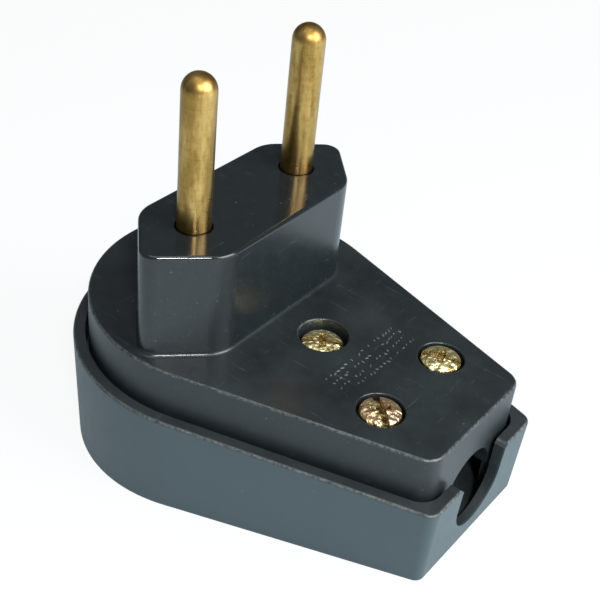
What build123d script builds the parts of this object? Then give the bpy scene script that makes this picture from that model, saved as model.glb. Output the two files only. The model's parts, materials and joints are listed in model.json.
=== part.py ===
from build123d import *
from math import acos, atan2, cos, hypot, radians, sin, sqrt, tan
import os

# A two-pin angled mains plug that lies on its back with the pins up.
# The pins are square to the front cover, and the back slopes to them, so the pins lean
# towards the cord end. +X points to the cord exit, +Y to the left pin, +Z up.
# Lengths are millimetres. Heights run along the pins, from the point of the back that
# lies under the middle between the pins.

# Pins and the nose that carries them
pin_spacing = 19.0
pin_diameter = 4.0
pin_length = 19.0
pin_seat_step = 0.2
pin_body_radius = 3.2
pin_collar_radius = 4.4
pin_collar_thickness = 1.4
pin_collar_height = 14.0
nose_face_height = 34.14
nose_face_thickness = 7.0
nose_half_width = 6.85
nose_tip_margin = 0.425
nose_end_run = 7.025
nose_tip_radius = 2.0
nose_shoulder_radius = 4.5
nose_wall = 1.9
nose_edge = 0.45
nose_foot = 0.5
pin_boss_wall = 1.4

# Base, an open cup under the cover
back_slope = 5.14
rim_height = 14.34
base_radius = 20.85
base_end = 37.5
base_end_half = 11.05
base_corner = 1.5
base_wall = 1.5
base_draft = 1.8
base_rim_edge = 0.35
base_floor = 1.8
ledge_width = 1.45
post_wall = 1.5
post_slot = 4.0
notch_flare = 0.6
notch_relief = 1.2

# Front cover, a shell that sits inside the rim of the base
cover_height = 20.27
cover_gap = 0.45
cover_wall = 2.0
cover_top = 2.2
cover_corner = 2.4
cover_edge = 0.4
screw_hole_edge = 0.2

# Cord entry and the grip inside it
cord_height = 10.2
cord_hole_radius = 4.75
cord_grip_radius = 3.4
grip_x = 26.1
rib_thickness = 1.2
rib_spacing = 4.4
clamp_width = 6.4
clamp_half_length = 9.2
clamp_floor_gap = 0.8
clamp_thickness = 3.6
clamp_groove_radius = 4.4
clamp_edge = 0.6

# Screws, nuts and washers
screw_radius = 1.5
hole_clearance = 0.1
thread_clearance = 0.05
head_height = 2.1
head_rim_height = 1.55
head_edge = 0.45
slot_width = 0.9
slot_depth = 1.2
tip_chamfer = 0.4
body_screw_x = 13.15
body_head_radius = 2.625
body_hole_radius = 3.1
body_head_sunk = 0.7
body_slot_turn = 35
body_nut_depth = 2.0
body_tip_out = 0.1
clamp_screw_y = 6.45
clamp_head_radius = 2.5
clamp_hole_radius = 2.85
clamp_head_proud = 0.4
clamp_slot_turn = 20
clamp_tip_recess = 0.7
terminal_head_radius = 2.7
terminal_screw_length = 7.0
terminal_bore_spare = 1.0
washer_radius = 3.1
washer_thickness = 0.6
nut_flats = 5.5
nut_height = 2.4
nut_clearance = 0.1
nut_chamfer = 0.35
screw_boss_wall = 1.3

# Places that follow from the sizes above
face = Plane(
    origin=(0, 0, 0),
    x_dir=(cos(radians(back_slope)), 0, -sin(radians(back_slope))),
    z_dir=(sin(radians(back_slope)), 0, cos(radians(back_slope))),
)
pin_axis = Axis((0, 0, 0), face.z_dir)
pin_places = {"left": pin_spacing / 2, "right": -pin_spacing / 2}
grip_places = {"left": clamp_screw_y, "right": -clamp_screw_y}
parting_height = cord_height
ceiling_height = cover_height - cover_top
pin_shoulder_height = nose_face_height - nose_face_thickness
cover_inset = base_wall + cover_gap
nose_half_length = base_radius - cover_inset - nose_tip_margin
nose_shoulder = nose_half_length - nose_end_run
pin_seat_radius = pin_diameter / 2 + pin_seat_step
side_angle = atan2(base_end_half, base_end) + acos(base_radius / hypot(base_end, base_end_half))
below_back = base_radius * tan(radians(back_slope)) + base_floor
nut_radius = nut_flats / sqrt(3)
nut_pocket_radius = nut_radius + nut_clearance
screw_hole_radius = screw_radius + hole_clearance
body_seat_height = cover_height - body_head_sunk - head_height
body_nut_height = body_screw_x * tan(radians(back_slope)) + body_nut_depth
body_screw_length = body_seat_height - body_nut_height + body_tip_out
body_boss_radius = nut_pocket_radius + screw_boss_wall
clamp_seat_height = cover_height + clamp_head_proud - head_height
clamp_far_side = grip_x + clamp_width / 2
clamp_floor = base_floor / cos(radians(back_slope)) + clamp_far_side * tan(radians(back_slope))
clamp_bottom = clamp_floor + clamp_floor_gap
clamp_top = clamp_bottom + clamp_thickness
clamp_screw_length = clamp_seat_height - clamp_bottom - clamp_tip_recess
clamp_boss_radius = screw_hole_radius + 2 * screw_boss_wall
terminal_seat_height = pin_collar_height - washer_thickness
post_radius = washer_radius + 4 * hole_clearance


def place(x, y, height, flipped=False):
    # A plane square to the pins, or facing the back when it is flipped.
    up = -face.z_dir if flipped else face.z_dir
    return Plane(face.from_local_coords((x, y, height)), x_dir=face.x_dir, z_dir=up)


def across(x):
    # A plane square to the cord axis, at a distance x from the pins.
    return Plane(
        origin=face.from_local_coords((x, 0, cord_height)),
        x_dir=face.y_dir,
        z_dir=face.x_dir,
    )


def plug_outline(inset, corner):
    # A round end about the pins and two straight sides that close in on the cord end.
    radius = base_radius - inset
    end = base_end - inset
    half = (radius - end * cos(side_angle)) / sin(side_angle)
    touch_x = radius * cos(side_angle)
    touch_y = radius * sin(side_angle)
    with BuildSketch(Plane.XY) as outline:
        with BuildLine():
            Polyline((touch_x, -touch_y), (end, -half), (end, half), (touch_x, touch_y))
            ThreePointArc((touch_x, touch_y), (-radius, 0), (touch_x, -touch_y))
        make_face()
        fillet(outline.vertices().group_by(Axis.X)[-1], radius=corner)
    return outline.sketch


def nose_outline(inset):
    # A long hexagon with softly rounded corners, its points in line with the pins.
    with BuildSketch(Plane.XY) as outline:
        with BuildLine():
            Polyline(
                (0, nose_half_length),
                (-nose_half_width, nose_shoulder),
                (-nose_half_width, -nose_shoulder),
                (0, -nose_half_length),
                (nose_half_width, -nose_shoulder),
                (nose_half_width, nose_shoulder),
                close=True,
            )
        make_face()
        long_sides = outline.vertices().group_by(Axis.X)
        fillet(long_sides[0] + long_sides[-1], radius=nose_shoulder_radius)
        tips = outline.vertices().group_by(Axis.Y)
        fillet(tips[0] + tips[-1], radius=nose_tip_radius)
        if inset:
            offset(amount=-inset)
    return outline.sketch


def pan_screw(seat, head_radius, length, turn):
    # A domed head on the seat plane with a slot and a cross, and a plain shank below it.
    dome = head_height - head_rim_height
    dome_radius = (head_radius**2 + dome**2) / (2 * dome)
    side = Plane(origin=seat.origin, x_dir=seat.x_dir, z_dir=-seat.y_dir)
    with BuildPart() as screw:
        with BuildSketch(side) as half:
            with BuildLine():
                Polyline(
                    (0, head_height),
                    (0, -length),
                    (screw_radius - tip_chamfer, -length),
                    (screw_radius, tip_chamfer - length),
                    (screw_radius, 0),
                    (head_radius, 0),
                    (head_radius, head_rim_height),
                )
                RadiusArc((head_radius, head_rim_height), (0, head_height), -dome_radius)
            make_face()
            fillet(half.vertices().group_by(Axis.X)[-1].sort_by(Axis.Y)[-1], radius=head_edge)
        revolve(axis=Axis(seat.origin, seat.z_dir))
        with Locations(seat.offset(head_height)):
            Box(2 * head_radius, slot_width, 2 * slot_depth, rotation=(0, 0, turn), mode=Mode.SUBTRACT)
            Box(slot_width, head_radius, 2 * slot_depth, rotation=(0, 0, turn), mode=Mode.SUBTRACT)
    return screw.part


def hex_nut(bottom):
    # A hexagon whose points are turned off at both ends.
    with BuildPart() as blank:
        with BuildSketch(bottom):
            Circle(nut_radius)
        extrude(amount=nut_height)
        chamfer(blank.edges().filter_by(GeomType.CIRCLE), length=nut_chamfer)
    with BuildPart() as nut:
        with BuildSketch(bottom):
            RegularPolygon(nut_radius, 6)
            Circle(screw_radius + thread_clearance, mode=Mode.SUBTRACT)
        extrude(amount=nut_height)
        add(blank.part, mode=Mode.INTERSECT)
    return nut.part


# Front cover with its nose
with BuildPart() as cover:
    with BuildSketch(face.offset(parting_height)):
        add(plug_outline(cover_inset, cover_corner))
    extrude(amount=cover_height - parting_height)
    fillet(cover.faces().sort_by(pin_axis)[-1].edges(), radius=cover_edge)
    with BuildSketch(face.offset(cover_height)):
        add(nose_outline(0))
    extrude(amount=nose_face_height - cover_height)
    nose_rings = cover.edges(Select.LAST).group_by(pin_axis)
    fillet(nose_rings[0], radius=nose_foot)
    fillet(cover.faces().sort_by(pin_axis)[-1].edges(), radius=nose_edge)

    # The hollow under the cover and the hollow in the nose
    with BuildSketch(face.offset(parting_height)):
        add(plug_outline(cover_inset + cover_wall, cover_corner))
    extrude(amount=ceiling_height - parting_height, mode=Mode.SUBTRACT)
    with BuildSketch(face.offset(ceiling_height)):
        add(nose_outline(nose_wall))
    extrude(amount=pin_shoulder_height - ceiling_height, mode=Mode.SUBTRACT)

    # Bosses for the pins and screws, and two ribs that bite on the cord
    with BuildSketch(face.offset(ceiling_height)):
        with Locations(*[(0, y) for y in pin_places.values()]):
            Circle(pin_body_radius + hole_clearance + pin_boss_wall)
    extrude(amount=pin_shoulder_height - ceiling_height)
    with BuildSketch(face.offset(parting_height)):
        with Locations((body_screw_x, 0)):
            Circle(body_boss_radius)
    extrude(amount=ceiling_height - parting_height)
    with BuildSketch(face.offset(cord_height + cord_grip_radius)):
        with Locations(*[(grip_x, y) for y in grip_places.values()]):
            Circle(clamp_boss_radius)
    extrude(amount=ceiling_height - cord_height - cord_grip_radius)
    with BuildSketch(face.offset(cord_height + cord_grip_radius / 2)):
        with Locations((grip_x - rib_spacing / 2, 0), (grip_x + rib_spacing / 2, 0)):
            Rectangle(rib_thickness, 2 * clamp_screw_y)
    extrude(amount=ceiling_height - cord_height - cord_grip_radius / 2)
    with BuildSketch(across(grip_x)):
        Circle(cord_grip_radius)
    extrude(amount=rib_spacing, both=True, mode=Mode.SUBTRACT)

    # The upper half of the cord hole in the end wall
    with BuildSketch(across(base_end)):
        Circle(cord_hole_radius)
    extrude(amount=-cover_inset - 2 * cover_wall, mode=Mode.SUBTRACT)

    # Bores for the pins, then sunk holes for the screws
    with Locations(*[place(0, y, nose_face_height) for y in pin_places.values()]):
        Hole(pin_seat_radius + thread_clearance)
    with BuildSketch(face.offset(ceiling_height)):
        with Locations(*[(0, y) for y in pin_places.values()]):
            Circle(pin_body_radius + hole_clearance)
    extrude(amount=pin_shoulder_height - ceiling_height, mode=Mode.SUBTRACT)
    with Locations(place(body_screw_x, 0, cover_height)):
        CounterBoreHole(screw_hole_radius, body_hole_radius, body_head_sunk + head_height)
    with Locations(*[place(grip_x, y, cover_height) for y in grip_places.values()]):
        CounterBoreHole(screw_hole_radius, clamp_hole_radius, head_height - clamp_head_proud)
    sunk_holes = cover.edges().filter_by(GeomType.CIRCLE).filter_by_position(
        pin_axis, cover_height - 0.01, cover_height + 0.01
    )
    fillet(sunk_holes, radius=screw_hole_edge)

# The space inside the base, down to a floor that is parallel to the back
with BuildPart() as hollow:
    with BuildSketch(face.offset(parting_height)):
        add(plug_outline(base_wall + ledge_width, base_corner))
        with Locations((base_end - base_wall - ledge_width, 0)):
            Rectangle(2 * ledge_width, 2 * (cord_hole_radius + notch_relief))
    extrude(amount=-parting_height - below_back)
    split(bisect_by=Plane.XY.offset(base_floor), keep=Keep.TOP)

# Base cup with its ledge, posts and nut boss
with BuildPart() as base:
    with BuildSketch(face.offset(rim_height)):
        add(plug_outline(0, base_corner))
    extrude(amount=rim_height + below_back, dir=-face.z_dir, taper=base_draft)
    fillet(base.faces().sort_by(pin_axis)[-1].edges(), radius=base_rim_edge)
    with BuildSketch(face.offset(rim_height)):
        add(plug_outline(base_wall, cover_corner + cover_gap))
    extrude(amount=parting_height - rim_height, mode=Mode.SUBTRACT)
    add(hollow.part, mode=Mode.SUBTRACT)

    # Open posts that press the pins up into the nose, with a slot for each wire
    with BuildSketch(face.offset(pin_collar_height)):
        with Locations(*[(0, y) for y in pin_places.values()]):
            Circle(post_radius + post_wall)
            Circle(post_radius, mode=Mode.SUBTRACT)
        with Locations(*[(post_radius + post_wall / 2, y) for y in pin_places.values()]):
            Rectangle(2 * post_wall, post_slot, mode=Mode.SUBTRACT)
    extrude(amount=-pin_collar_height - below_back)

    # The boss for the housing screw, with its nut let into the back
    with BuildSketch(face.offset(parting_height)):
        with Locations((body_screw_x, 0)):
            Circle(body_boss_radius)
    extrude(amount=-parting_height - below_back)
    with Locations(place(body_screw_x, 0, parting_height)):
        Hole(screw_hole_radius)
    with BuildSketch(face.offset(body_nut_height + nut_height)):
        with Locations((body_screw_x, 0)):
            RegularPolygon(nut_pocket_radius, 6)
    extrude(amount=-parting_height - below_back, mode=Mode.SUBTRACT)

    # The lower half of the cord hole, open to the rim, where its mouth flares
    throat = rim_height - cord_height - notch_flare
    mouth = rim_height - cord_height + notch_flare
    with BuildSketch(across(base_end)):
        Circle(cord_hole_radius)
        with BuildLine():
            Polyline(
                (cord_hole_radius, 0),
                (cord_hole_radius, throat),
                (cord_hole_radius + 2 * notch_flare, mouth),
                (-cord_hole_radius - 2 * notch_flare, mouth),
                (-cord_hole_radius, throat),
                (-cord_hole_radius, 0),
                close=True,
            )
        make_face()
    extrude(amount=2 * cover_inset, both=True, mode=Mode.SUBTRACT)
    split(bisect_by=Plane.XY, keep=Keep.TOP)

# Saddle under the cord, drawn up by the two clamp screws
with BuildPart() as cord_clamp:
    with BuildSketch(face.offset(clamp_bottom)):
        with Locations((grip_x, 0)):
            RectangleRounded(clamp_width, 2 * clamp_half_length, clamp_width / 3)
    extrude(amount=clamp_top - clamp_bottom)
    chamfer(cord_clamp.faces().sort_by(pin_axis)[-1].edges(), length=clamp_edge)
    with BuildSketch(across(grip_x)):
        with Locations((0, clamp_groove_radius - cord_grip_radius + hole_clearance)):
            Circle(clamp_groove_radius)
    extrude(amount=clamp_width, both=True, mode=Mode.SUBTRACT)
    with Locations(*[place(grip_x, y, clamp_top) for y in grip_places.values()]):
        Hole(screw_hole_radius)
    with BuildSketch(face.offset(clamp_bottom)):
        with Locations(*[(grip_x, y) for y in grip_places.values()]):
            RegularPolygon(nut_pocket_radius, 6)
    extrude(amount=nut_height, mode=Mode.SUBTRACT)


def contact_pin(y):
    # A turned pin with a round tip, a thicker body inside the nose and a collar at its rear.
    foot = place(0, y, pin_collar_height)
    side = Plane(foot.origin, x_dir=face.x_dir, z_dir=-face.y_dir)
    shoulder = pin_shoulder_height - pin_collar_height
    tip = nose_face_height + pin_length - pin_collar_height
    radius = pin_diameter / 2
    with BuildPart() as pin:
        with BuildSketch(side):
            with BuildLine():
                Polyline(
                    (0, tip),
                    (0, 0),
                    (pin_collar_radius, 0),
                    (pin_collar_radius, pin_collar_thickness),
                    (pin_body_radius, pin_collar_thickness),
                    (pin_body_radius, shoulder),
                    (pin_seat_radius, shoulder),
                    (pin_seat_radius, tip - pin_length - pin_seat_step),
                    (radius, tip - pin_length),
                    (radius, tip - radius),
                )
                RadiusArc((radius, tip - radius), (0, tip), -radius)
            make_face()
        revolve(axis=Axis(foot.origin, foot.z_dir))
        with BuildSketch(foot):
            Circle(screw_radius + thread_clearance)
        bore = terminal_screw_length - washer_thickness + terminal_bore_spare
        extrude(amount=bore, mode=Mode.SUBTRACT)
    return pin.part


def terminal_washer(y):
    seat = place(0, y, pin_collar_height, flipped=True)
    with BuildPart() as washer:
        with BuildSketch(seat):
            Circle(washer_radius)
            Circle(screw_hole_radius, mode=Mode.SUBTRACT)
        extrude(amount=washer_thickness)
    return washer.part


pieces = {"cover": cover.part, "base": base.part, "cord_clamp": cord_clamp.part}
body_seat = place(body_screw_x, 0, body_seat_height)
pieces["body_screw"] = pan_screw(body_seat, body_head_radius, body_screw_length, body_slot_turn)
pieces["body_nut"] = hex_nut(place(body_screw_x, 0, body_nut_height))
for side_name, y in pin_places.items():
    pieces[f"pin_{side_name}"] = contact_pin(y)
    pieces[f"terminal_washer_{side_name}"] = terminal_washer(y)
    seat = place(0, y, terminal_seat_height, flipped=True)
    pieces[f"terminal_screw_{side_name}"] = pan_screw(seat, terminal_head_radius, terminal_screw_length, 0)
for side_name, y in grip_places.items():
    seat = place(grip_x, y, clamp_seat_height)
    turn = clamp_slot_turn if y > 0 else -2 * clamp_slot_turn
    pieces[f"clamp_screw_{side_name}"] = pan_screw(seat, clamp_head_radius, clamp_screw_length, turn)
    pieces[f"clamp_nut_{side_name}"] = hex_nut(place(grip_x, y, clamp_bottom))

os.makedirs("parts", exist_ok=True)
for name, solid in pieces.items():
    solid.label = name
    export_step(solid, f"parts/{name}.step")
    print(name, round(solid.volume, 1))
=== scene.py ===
import json
import math
import bpy
from mathutils import Matrix, Vector


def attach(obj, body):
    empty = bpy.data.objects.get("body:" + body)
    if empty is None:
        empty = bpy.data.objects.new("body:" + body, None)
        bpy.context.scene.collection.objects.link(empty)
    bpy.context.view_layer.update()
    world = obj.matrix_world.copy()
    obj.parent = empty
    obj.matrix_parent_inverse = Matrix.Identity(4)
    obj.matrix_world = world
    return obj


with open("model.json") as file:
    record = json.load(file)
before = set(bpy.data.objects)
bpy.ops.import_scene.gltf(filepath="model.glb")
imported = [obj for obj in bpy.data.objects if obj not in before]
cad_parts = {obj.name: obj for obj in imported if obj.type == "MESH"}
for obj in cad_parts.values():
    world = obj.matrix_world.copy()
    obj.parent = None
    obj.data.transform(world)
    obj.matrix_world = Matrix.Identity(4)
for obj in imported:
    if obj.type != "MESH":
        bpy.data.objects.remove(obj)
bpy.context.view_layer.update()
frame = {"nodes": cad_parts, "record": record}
millimetre = 0.001


# The housing's own frame: its front cover is tilted to the back it lies on
def unit(values):
    return Vector(values).normalized()


mounts = {mount["name"]: mount for mount in frame["record"]["mounts"]}
pinAxis = unit(mounts["nose_face"]["axis"])
cordAxis = unit(mounts["cord_entry"]["axis"])
sideAxis = pinAxis.cross(cordAxis)
tilt = math.atan2(pinAxis.x, pinAxis.z)


def onPlug(x, y, height):
    # Millimetres along the cord, across to the left pin and up the pins
    return (cordAxis * x + sideAxis * y + pinAxis * height) * millimetre


# Camera, from the measured points of the photo
photoSize = 600
cameraSet = {
    "azimuth": 35.78,
    "elevation": 34.39,
    "roll": 1.9,
    "place": (81.54, -94.03, 99.83),
    "focalPixels": 1159.8,
    "centrePixel": (316.2, 321.1),
    "sensor": 36,
    "nearest": 0.01,
    "farthest": 100,
}


def makeCamera(s):
    data = bpy.data.cameras.new("camera")
    camera = bpy.data.objects.new("camera", data)
    bpy.context.scene.collection.objects.link(camera)
    data.sensor_width = s["sensor"]
    data.lens = s["focalPixels"] / photoSize * data.sensor_width
    data.shift_x = 0.5 - s["centrePixel"][0] / photoSize
    data.shift_y = s["centrePixel"][1] / photoSize - 0.5
    data.clip_start = s["nearest"]
    data.clip_end = s["farthest"]
    azimuth = math.radians(s["azimuth"])
    elevation = math.radians(s["elevation"])
    back = Vector((
        math.sin(azimuth) * math.cos(elevation),
        -math.cos(azimuth) * math.cos(elevation),
        math.sin(elevation),
    ))
    right = Vector((math.cos(azimuth), math.sin(azimuth), 0))
    up = back.cross(right)
    turn = math.radians(s["roll"])
    rolledRight = right * math.cos(turn) + up * math.sin(turn)
    rolledUp = up * math.cos(turn) - right * math.sin(turn)
    axes = Matrix((rolledRight, rolledUp, back)).transposed()
    camera.matrix_world = Matrix.Translation(Vector(s["place"]) * millimetre) @ axes.to_4x4()
    bpy.context.scene.camera = camera


makeCamera(cameraSet)
print("camera placed")


# Shader maths: a value on a wire that adds Math nodes as it is used
class Wire:
    def __init__(self, tree, socket):
        self.tree = tree
        self.socket = socket

    def maths(self, operation, first, second=None, clamp=False):
        made = self.tree.nodes.new("ShaderNodeMath")
        made.operation = operation
        made.use_clamp = clamp
        for socket, value in zip(made.inputs, (first, second)):
            if isinstance(value, Wire):
                self.tree.links.new(value.socket, socket)
            elif value is not None:
                socket.default_value = value
        return Wire(self.tree, made.outputs[0])

    def __add__(self, other):
        return self.maths("ADD", self, other)

    def __radd__(self, other):
        return self.maths("ADD", self, other)

    def __sub__(self, other):
        return self.maths("SUBTRACT", self, other)

    def __rsub__(self, other):
        return self.maths("SUBTRACT", other, self)

    def __mul__(self, other):
        return self.maths("MULTIPLY", self, other)

    def __rmul__(self, other):
        return self.maths("MULTIPLY", self, other)

    def above(self, edge, soft):
        # 0 below the edge and 1 above it, over a soft width
        raised = self - (edge - soft / 2)
        return self.maths("MULTIPLY", raised, 1 / soft, clamp=True)

    def below(self, edge, soft):
        return 1 - self.above(edge, soft)

    def within(self, low, high, soft):
        return self.above(low, soft) * self.below(high, soft)

    def marked(self, edge, soft, strength):
        return self.above(edge, soft) * strength

    def size(self):
        return self.maths("ABSOLUTE", self)


class Finish:
    def __init__(self, name):
        self.material = bpy.data.materials.new(name)
        self.material.use_nodes = True
        self.tree = self.material.node_tree
        self.shader = self.tree.nodes["Principled BSDF"]

    def node(self, kind, settings=None, inputs=None, output=0):
        made = self.tree.nodes.new(kind)
        for key, value in (settings or {}).items():
            setattr(made, key, value)
        for key, value in (inputs or {}).items():
            if isinstance(value, Wire):
                self.tree.links.new(value.socket, made.inputs[key])
            else:
                made.inputs[key].default_value = value
        return Wire(self.tree, made.outputs[output])

    def place(self):
        # Object coordinates in millimetres
        objectPlace = self.node("ShaderNodeTexCoord", output="Object")
        return self.node(
            "ShaderNodeVectorMath", {"operation": "SCALE"}, {0: objectPlace, "Scale": 1 / millimetre}
        )

    def along(self, direction):
        inputs = {0: self.place(), 1: tuple(direction)}
        return self.node("ShaderNodeVectorMath", {"operation": "DOT_PRODUCT"}, inputs, "Value")

    def stretched(self, x, y, height):
        # Coordinates of the plug, each axis with its own number of features a millimetre
        inputs = {
            "X": self.along(cordAxis) * x,
            "Y": self.along(sideAxis) * y,
            "Z": self.along(pinAxis) * height,
        }
        return self.node("ShaderNodeCombineXYZ", None, inputs)

    def noise(self, scale, detail=3.0, roughness=0.5, vector=None):
        inputs = {"Scale": scale, "Detail": detail, "Roughness": roughness}
        inputs["Vector"] = vector or self.place()
        return self.node("ShaderNodeTexNoise", None, inputs)

    def specks(self, scale, radius, share):
        # Round spots of a radius in millimetres, in a share of the cells
        inputs = {"Vector": self.place(), "Scale": scale}
        distance = self.node("ShaderNodeTexVoronoi", None, inputs, "Distance")
        cellColour = Wire(self.tree, distance.socket.node.outputs["Color"])
        chance = self.node("ShaderNodeSeparateColor", None, {"Color": cellColour})
        return distance.below(radius * scale, radius * scale) * chance.above(1 - share, 0.01)

    def blend(self, factor, first, second):
        inputs = {0: factor}
        for key, colour in ((6, first), (7, second)):
            inputs[key] = colour if isinstance(colour, Wire) else (*colour, 1)
        return self.node("ShaderNodeMix", {"data_type": "RGBA"}, inputs, output=2)

    def bump(self, height, depth):
        inputs = {"Height": height, "Distance": depth * millimetre}
        return self.node("ShaderNodeBump", None, inputs)

    def set(self, **values):
        for key, value in values.items():
            socket = self.shader.inputs[key.replace("_", " ")]
            if isinstance(value, Wire):
                self.tree.links.new(value.socket, socket)
            elif isinstance(value, tuple):
                socket.default_value = (*value, 1)
            else:
                socket.default_value = value
        return self.material


# Moulded housing: near-black thermoset, rubbed and dusty, with a polished nose.
# Heights are up the pins from the middle of the back, in millimetres
coverHeight = 20.27
rimHeight = 14.34
noseHeight = Vector(mounts["nose_face"]["pos_m"]).dot(pinAxis) / millimetre
holeReach = 3.5
notchSet = {"start": 30, "halfWidth": 9, "bottom": 4.5, "top": 30}
coverSet = {
    "dark": (0.0085, 0.0115, 0.0126),
    "light": (0.0185, 0.0245, 0.0269),
    "dust": (0.1, 0.12, 0.125),
    "wall": (0.009, 0.0128, 0.0145),
    "roughness": 0.3,
    "sideRoughness": 0.12,
    "polished": 0.13,
    "wallTop": coverHeight - 0.35,
    "endFace": 0.0,
    "endLean": 0.0,
    "edge": coverHeight,
    "grain": 0.006,
}
baseSet = {
    "dark": (0.014, 0.018, 0.019),
    "light": (0.022, 0.028, 0.03),
    "dust": (0.12, 0.14, 0.145),
    # The base walls are painted paler and bluer than its land: painted light from below
    "wall": (0.031, 0.051, 0.06),
    "roughness": 0.4,
    "sideRoughness": 0.05,
    "polished": 0.4,
    "wallTop": rimHeight - 0.35,
    "endFace": 37.05,
    "endLean": 0.0314,
    "edge": rimHeight,
    "grain": 0.01,
}


def middleOf(nodeName):
    # A node's middle, along the cord and across, in millimetres
    corners = [Vector(corner) for corner in frame["nodes"][nodeName].bound_box]
    middle = sum(corners, Vector()) / len(corners) / millimetre
    return middle.dot(cordAxis), abs(middle.dot(sideAxis))


def aroundScrew(made, nodeName):
    # 1 at the hole of a screw and of its twin on the other side
    alongMiddle, acrossMiddle = middleOf(nodeName)
    alongStep = made.along(cordAxis) - alongMiddle
    acrossStep = made.along(sideAxis).size() - acrossMiddle
    squared = alongStep * alongStep + acrossStep * acrossStep
    return squared.below(holeReach * holeReach, 1)


# Scales are features a millimetre. A mark is a level, its softness and its strength
wearSet = {
    "patches": 0.11,
    "rubbed": 0.7,
    "grain": 5,
    "chips": 2.4,
    "paler": (0.5, 0.35),
    "scratchesAlong": (0.12, 3.2, 2.0),
    "scratchedAlong": (0.68, 0.05),
    "scratchesAcross": (2.6, 0.15, 1.1),
    "scratchedAcross": (0.7, 0.05),
    "scratchedWhere": (0.5, 0.2),
    "speckSizes": ((0.55, 0.1), (1.3, 0.05)),
    "specked": 0.35,
    "edgeBand": (0.26, 0.03),
    "chipped": (0.5, 0.24),
    "scratchDust": 0.14,
    "speckDust": 0.6,
    # The edge share is wear and a painted highlight line along the top edges
    "edgeDustAndHighlight": 0.75,
    "rubbedDust": (0.62, 0.3, 0.03),
    "polishDepth": 0.5,
    "footPolish": 0.15,
    "patchGloss": 0.12,
    "rubbedGloss": 0.1,
    "scratchGloss": 0.12,
}


def housingPlastic(name, s, wear):
    made = Finish(name)
    height = made.along(pinAxis)
    patches = made.noise(wear["patches"], 4)
    rubbed = made.noise(wear["rubbed"], 5, 0.65)
    fine = made.noise(wear["grain"], 2)
    # Long faint scratches, run along the cord and across it
    alongCord = made.noise(1, 2, 0.5, made.stretched(*wear["scratchesAlong"]))
    acrossCord = made.noise(1, 2, 0.5, made.stretched(*wear["scratchesAcross"]))
    scratched = alongCord.above(*wear["scratchedAlong"]) + acrossCord.above(*wear["scratchedAcross"])
    scratches = scratched * rubbed.above(*wear["scratchedWhere"])
    specks = sum(made.specks(scale, radius, wear["specked"]) for scale, radius in wear["speckSizes"])
    # The worn round of the top edge, lighter as chipped wear and as a painted highlight line, but not of
    # the screw holes
    lowest, highest = [s["edge"] - depth for depth in wear["edgeBand"]]
    chips = made.noise(wear["chips"], 5, 0.7).above(*wear["chipped"])
    bored = aroundScrew(made, "body_screw") + aroundScrew(made, "clamp_screw_left")
    edge = height.within(lowest, highest, 0.05) * chips * (1 - bored)
    # Walls take their own colour, on the base painted paler as light from below; the cord notch is left out
    # of it and stays as dark as the inside
    behindEnd = (made.along(cordAxis) - height * s["endLean"]).below(s["endFace"] - 0.2, 0.15)
    beside = made.along(sideAxis).size().below(notchSet["halfWidth"], 0.5)
    notch = behindEnd * beside * height.within(notchSet["bottom"], notchSet["top"], 0.5)
    notch = notch * made.along(cordAxis).above(notchSet["start"], 1)
    walls = height.below(s["wallTop"], 0.25) * (1 - notch) + height.above(coverHeight + 0.3, 0.3)
    land = made.blend(patches.above(*wear["paler"]), s["dark"], s["light"])
    colour = made.blend(walls, land, s["wall"])
    marks = scratches * wear["scratchDust"] + specks * wear["speckDust"] + edge * wear["edgeDustAndHighlight"]
    marks = marks + rubbed.marked(*wear["rubbedDust"])
    colour = made.blend(marks, colour, s["dust"])
    # The press left the top of the nose and its edge bright, and its foot a little
    foot = height.within(coverHeight + 0.05, coverHeight + wear["polishDepth"], 0.1)
    polished = height.above(noseHeight - wear["polishDepth"], 0.1) + foot * wear["footPolish"]
    gloss = s["roughness"] + polished * (s["polished"] - s["roughness"])
    gloss = gloss + height.below(s["edge"] - 0.3, 0.3) * s["sideRoughness"]
    gloss = gloss + (patches - 0.5) * wear["patchGloss"] + (rubbed - 0.5) * wear["rubbedGloss"]
    gloss = gloss + scratches * wear["scratchGloss"]
    grain = made.bump(fine + rubbed - scratches * 0.6, s["grain"])
    return made.set(Base_Color=colour, Roughness=gloss, Normal=grain)


# Turned brass for the pins: rings left by the lathe, brown stains down the sides
brassSet = {
    "light": (0.59, 0.39, 0.135),
    "dark": (0.27, 0.155, 0.036),
    "coppery": (0.55, 0.29, 0.1),
    "grimeAndShade": (0.03, 0.02, 0.01),
    "roughness": 0.31,
    "tip": 17.5,
    "foot": 0.08,
    "rings": (0.02, 0.02, 5.5),
    "stains": (0.55, 0.55, 0.12),
    "spots": 1.4,
    "patches": 0.35,
    "ringed": (0.56, 0.2, 0.15),
    "stained": (0.48, 0.2, 0.8),
    "spotted": (0.6, 0.2, 0.25),
    "warmed": (0.56, 0.12, 0.6),
    "stainGloss": 0.25,
    "ringGloss": 0.12,
    "scuffGloss": 0.1,
    "ringDepth": 0.006,
}


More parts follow.
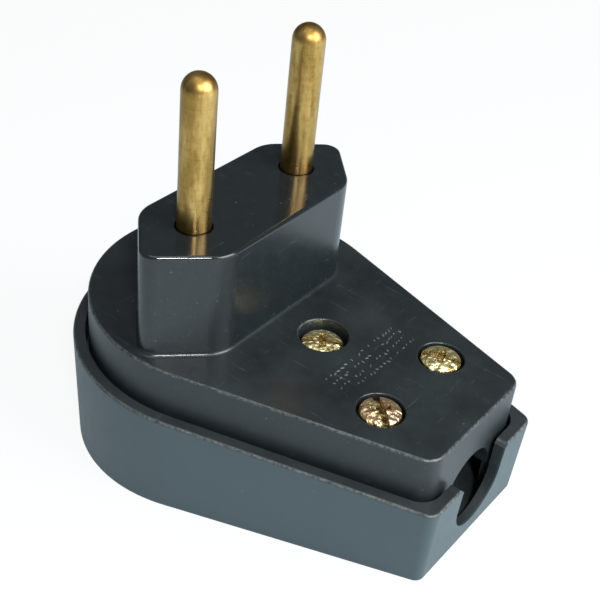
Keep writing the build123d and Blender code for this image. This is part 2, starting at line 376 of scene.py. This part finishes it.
def turnedBrass(name, s):
    made = Finish(name)
    rings = made.noise(1, 4, 0.7, made.stretched(*s["rings"]))
    stain = made.noise(1, 4, 0.6, made.stretched(*s["stains"]))
    spots = made.noise(s["spots"], 4, 0.65)
    patches = made.noise(s["patches"], 3, 0.6)
    browned = stain.marked(*s["stained"]) + spots.marked(*s["spotted"]) + rings.marked(*s["ringed"])
    warmed = made.blend(patches.marked(*s["warmed"]), s["light"], s["coppery"])
    colour = made.blend(browned, warmed, s["dark"])
    height = made.along(pinAxis)
    # Below the nose face the pins are painted near black: grime and painted shade inside their holes
    colour = made.blend(height.below(noseHeight + s["foot"], 0.1), colour, s["grimeAndShade"])
    # The round tips are scuffed by the sockets
    scuffed = height.above(noseHeight + s["tip"], 1.5)
    gloss = s["roughness"] + (stain - 0.5) * s["stainGloss"] + (rings - 0.5) * s["ringGloss"]
    gloss = gloss + scuffed * s["scuffGloss"]
    turned = made.bump(rings + spots * 0.5, s["ringDepth"])
    return made.set(Base_Color=colour, Metallic=1.0, Roughness=gloss, Normal=turned)


# Small metal: screws with a worn yellow plating, brass terminals, zinc on the nuts
screwSet = {"light": (0.95, 0.87, 0.5), "dark": (0.55, 0.44, 0.18), "roughness": 0.42, "dents": 0.55}
terminalSet = {"light": (0.62, 0.44, 0.18), "dark": (0.4, 0.26, 0.09), "roughness": 0.33, "dents": 0.03}
nutSet = {"light": (0.6, 0.6, 0.57), "dark": (0.33, 0.31, 0.27), "roughness": 0.34, "dents": 0.04}
crustSet = {
    "stains": 1.3,
    "crust": 2.2,
    "dents": 1.15,
    "fineDents": 3.0,
    "fineShare": 0.2,
    "stained": (0.55, 0.22),
    "crusted": (0.57, 0.1, 0.5),
    "stainGloss": 0.3,
}
outerScrewSet = {
    "copper": (0.95, 0.62, 0.45),
    "copperFrom": (-3, 1),
    "coppered": (0.42, 0.2),
    "grimeAndShade": (0.36, 0.28, 0.14),
    "slotFloor": coverHeight - 0.25,
    "bodyScrewSunk": 1.1,
    "bodyScrewBefore": 20,
}


def smallMetal(name, s, crust, outer=None):
    made = Finish(name)
    stain = made.noise(crust["stains"], 5, 0.65)
    crusted = made.noise(crust["crust"], 3, 0.6).marked(*crust["crusted"])
    dents = made.noise(crust["dents"], 1, 0.5) + made.noise(crust["fineDents"], 1, 0.5) * crust["fineShare"]
    light = s["light"]
    if outer:
        # The plating has gone from the screw of the right side
        right = made.along(sideAxis).below(*outer["copperFrom"])
        light = made.blend(right * made.noise(1, 3).above(*outer["coppered"]), s["light"], outer["copper"])
    colour = made.blend(stain.above(*crust["stained"]) + crusted, light, s["dark"])
    if outer:
        # Grime and painted shade in the slots, darker below the slot floor, which lies deeper on the screw
        # between the pins and the clamp
        sunk = made.along(cordAxis).below(outer["bodyScrewBefore"], 1) * outer["bodyScrewSunk"]
        height = made.along(pinAxis) + sunk
        colour = made.blend(height.below(outer["slotFloor"], 0.2), colour, outer["grimeAndShade"])
    gloss = s["roughness"] + (stain - 0.5) * crust["stainGloss"]
    return made.set(Base_Color=colour, Metallic=1.0, Roughness=gloss, Normal=made.bump(dents, s["dents"]))


tickFinish = {
    **coverSet,
    "dark": (0.026, 0.033, 0.036),
    "light": (0.08, 0.1, 0.108),
    "roughness": 0.4,
}
finishes = {
    "ticks": housingPlastic("rubbedTicks", tickFinish, wearSet),
    "housing_cover": housingPlastic("coverPlastic", coverSet, wearSet),
    "housing_base": housingPlastic("basePlastic", baseSet, wearSet),
    "clamp_plastic": housingPlastic("clampPlastic", coverSet, wearSet),
    "pin_brass": turnedBrass("pinBrass", brassSet),
    "screw_brass": smallMetal("screwPlating", screwSet, crustSet, outerScrewSet),
    "terminal_brass": smallMetal("terminalBrass", terminalSet, crustSet),
    "nut_steel": smallMetal("nutZinc", nutSet, crustSet),
}
for row in frame["record"]["subparts"]:
    mesh = frame["nodes"][row["node"]].data
    mesh.materials.clear()
    mesh.materials.append(finishes[row["material_slot"]])
print("materials set")


# Geometry Nodes: a tree with named inputs, grown into a plain mesh
class Grower:
    def __init__(self, name, settings):
        self.name = name
        self.settings = settings
        self.tree = bpy.data.node_groups.new(name, "GeometryNodeTree")
        for label, value in settings.items():
            kind = "NodeSocketInt" if isinstance(value, int) else "NodeSocketFloat"
            self.tree.interface.new_socket(name=label, in_out="INPUT", socket_type=kind)
        self.tree.interface.new_socket(name="Geometry", in_out="OUTPUT", socket_type="NodeSocketGeometry")
        self.given = self.tree.nodes.new("NodeGroupInput")
        self.result = self.tree.nodes.new("NodeGroupOutput")

    def value(self, label):
        return self.given.outputs[label]

    def node(self, kind, settings=None, inputs=None):
        made = self.tree.nodes.new(kind)
        for key, value in (settings or {}).items():
            setattr(made, key, value)
        for key, value in (inputs or {}).items():
            if isinstance(value, bpy.types.NodeSocket):
                self.tree.links.new(value, made.inputs[key])
            else:
                made.inputs[key].default_value = value
        return made

    def maths(self, operation, first, second):
        return self.node("ShaderNodeMath", {"operation": operation}, {0: first, 1: second}).outputs[0]

    def between(self, least, most):
        # A random vector for each point
        inputs = {0: least, 1: most, "Seed": self.value("Seed")}
        return self.node("FunctionNodeRandomValue", {"data_type": "FLOAT_VECTOR"}, inputs).outputs[0]

    def grow(self, geometry, material):
        # The tree ends in plain geometry with its material, and the object is made a plain mesh
        real = self.node("GeometryNodeRealizeInstances", None, {"Geometry": geometry}).outputs[0]
        painted = self.node("GeometryNodeSetMaterial", None, {"Geometry": real, "Material": material})
        self.tree.links.new(painted.outputs[0], self.result.inputs[0])
        holder = bpy.data.objects.new(self.name, bpy.data.meshes.new(self.name))
        bpy.context.scene.collection.objects.link(holder)
        modifier = holder.modifiers.new(self.name, "NODES")
        modifier.node_group = self.tree
        for item in self.tree.interface.items_tree:
            if item.in_out == "INPUT":
                modifier[item.identifier] = self.settings[item.name]
        evaluated = holder.evaluated_get(bpy.context.evaluated_depsgraph_get())
        mesh = bpy.data.meshes.new_from_object(evaluated)
        holder.modifiers.clear()
        holder.data = mesh
        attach(holder, "root")


# Rows of plain raised ticks between the screws
tickSet = {
    "Rows": 4,
    "Ticks": 20,
    "Row Spacing": 1.1,
    "Tick Spacing": 0.71,
    "Tick Width": 0.3,
    "Tick Length": 0.64,
    "Tick Height": 0.28,
    "Left Out": 0.27,
    "Seed": 7,
}
tickSpread = {
    "place": (20.05, 0.3),
    "stray": 0.18,
    "turn": 1.4,
    "smallest": (0.5, 0.8, 0.7),
    "largest": (1.15, 1.3, 1.15),
    "rounding": 2,
}


def inMetres(label, value):
    isLength = isinstance(value, float) and label != "Left Out"
    return value * millimetre if isLength else value


def raisedTicks(s, spread):
    g = Grower("raised_ticks", {label: inMetres(label, value) for label, value in s.items()})
    rowSpan = g.maths("MULTIPLY", g.value("Row Spacing"), g.maths("SUBTRACT", g.value("Rows"), 1))
    tickSpan = g.maths("MULTIPLY", g.value("Tick Spacing"), g.maths("SUBTRACT", g.value("Ticks"), 1))
    grid = g.node("GeometryNodeMeshGrid", None, {
        "Size X": rowSpan,
        "Size Y": tickSpan,
        "Vertices X": g.value("Rows"),
        "Vertices Y": g.value("Ticks"),
    })
    leftOut = g.node("FunctionNodeRandomValue", {"data_type": "BOOLEAN"}, {
        "Probability": g.value("Left Out"),
        "Seed": g.value("Seed"),
    })
    kept = g.node("GeometryNodeDeleteGeometry", {"domain": "POINT"}, {
        "Geometry": grid.outputs[0],
        "Selection": leftOut.outputs[3],
    })
    stray = spread["stray"] * millimetre
    moved = g.node("GeometryNodeSetPosition", None, {
        "Geometry": kept.outputs[0],
        "Offset": g.between((-stray, -stray, 0), (stray, stray, 0)),
    })
    size = g.node("ShaderNodeCombineXYZ", None, {
        "X": g.value("Tick Length"),
        "Y": g.value("Tick Width"),
        "Z": g.value("Tick Height"),
    })
    block = g.node("GeometryNodeMeshCube", None, {"Size": size.outputs[0]})
    rounded = g.node("GeometryNodeSubdivisionSurface", None, {
        "Mesh": block.outputs[0],
        "Level": spread["rounding"],
    })
    ticks = g.node("GeometryNodeInstanceOnPoints", None, {
        "Points": moved.outputs[0],
        "Instance": rounded.outputs[0],
        "Rotation": g.between((0, 0, -spread["turn"]), (0, 0, spread["turn"])),
        "Scale": g.between(spread["smallest"], spread["largest"]),
    })
    placed = g.node("GeometryNodeTransform", None, {
        "Geometry": ticks.outputs[0],
        "Translation": onPlug(*spread["place"], coverHeight),
        "Rotation": (0, tilt, 0),
    })
    g.grow(placed.outputs[0], finishes["ticks"])


raisedTicks(tickSet, tickSpread)
print("raised ticks made")


# Floor and light: a lamp's place, its size and its watts
lightSet = {
    "flash": ((0.36, -0.3, 0.39), 0.08, 2.5),
    "left": ((-0.4, -0.3, 0.45), 0.5, 0.1),
    "low": ((0.3, 0.03, 0.2), 0.25, 1.7),
    "top": ((0.02, -0.1, 0.75), 0.4, 1.2),
}
lampsAim = 15


def areaLight(name, place, size, power):
    data = bpy.data.lights.new(name, "AREA")
    data.shape = "SQUARE"
    data.size = size
    data.energy = power
    light = bpy.data.objects.new(name, data)
    light.location = place
    target = Vector((0, 0, lampsAim)) * millimetre
    light.rotation_euler = (target - Vector(place)).to_track_quat("-Z", "Y").to_euler()
    bpy.context.scene.collection.objects.link(light)


for name, lamp in lightSet.items():
    areaLight(name, *lamp)

worldSet = {"colour": (0.9, 0.96, 1, 1), "strength": 0.13}
world = bpy.data.worlds.new("world")
bpy.context.scene.world = world
world.use_nodes = True
background = world.node_tree.nodes["Background"]
background.inputs["Color"].default_value = worldSet["colour"]
background.inputs["Strength"].default_value = worldSet["strength"]
# The camera sees white beyond the floor
whiteSky = world.node_tree.nodes.new("ShaderNodeBackground")
skyPath = world.node_tree.nodes.new("ShaderNodeLightPath")
skyMix = world.node_tree.nodes.new("ShaderNodeMixShader")
for output, socket in (
    (skyPath.outputs["Is Camera Ray"], skyMix.inputs[0]),
    (background.outputs[0], skyMix.inputs[1]),
    (whiteSky.outputs[0], skyMix.inputs[2]),
    (skyMix.outputs[0], world.node_tree.nodes["World Output"].inputs["Surface"]),
):
    world.node_tree.links.new(output, socket)
whiteSky.inputs["Color"].default_value = (1, 1, 1, 1)

# White paper, its far part all white
floorSet = {
    "halfSide": 20.0,
    "under": 0.03,
    "paper": (0.72, 0.83, 0.88),
    "roughness": 0.9,
    "whitened": 0.88,
    "farFrom": 400.0,
    "mirrorShare": 0.25,
    "seen": (1, 1, 1),
    "mirrored": (0.72, 0.9, 1),
}


def makeFloor(s):
    half = s["halfSide"]
    mesh = bpy.data.meshes.new("floor")
    level = -s["under"] * millimetre
    corners = [(-half, -half, level), (half, -half, level), (half, half, level), (-half, half, level)]
    mesh.from_pydata(corners, [], [(0, 1, 2, 3)])
    floor = bpy.data.objects.new("floor", mesh)
    bpy.context.scene.collection.objects.link(floor)
    made = Finish("floorPaper")
    made.set(Base_Color=s["paper"], Roughness=s["roughness"])
    # The camera and mirrors see the paper nearly white, with its shadow kept faint
    seen = made.node("ShaderNodeLightPath", output="Is Camera Ray")
    mirrored = made.node("ShaderNodeLightPath", output="Is Glossy Ray")
    glow = made.blend(seen, s["mirrored"], s["seen"])
    white = made.node("ShaderNodeEmission", None, {"Color": glow, "Strength": 1.0})
    paper = Wire(made.tree, made.shader.outputs[0])
    # Far from the plug the paper is all white
    right = made.along((1, 0, 0))
    behind = made.along((0, 1, 0))
    farSquared = s["farFrom"] ** 2
    far = (right * right + behind * behind).above(farSquared / 2, farSquared)
    share = far * (1 - s["whitened"]) + s["whitened"]
    whitened = seen.maths("MAXIMUM", seen, mirrored * s["mirrorShare"]) * share
    inputs = {0: whitened, 1: paper, 2: white}
    mixed = made.node("ShaderNodeMixShader", None, inputs)
    made.tree.links.new(mixed.socket, made.tree.nodes["Material Output"].inputs["Surface"])
    mesh.materials.append(made.material)


makeFloor(floorSet)
bpy.context.scene.view_settings.view_transform = "Standard"
print("floor and light made")
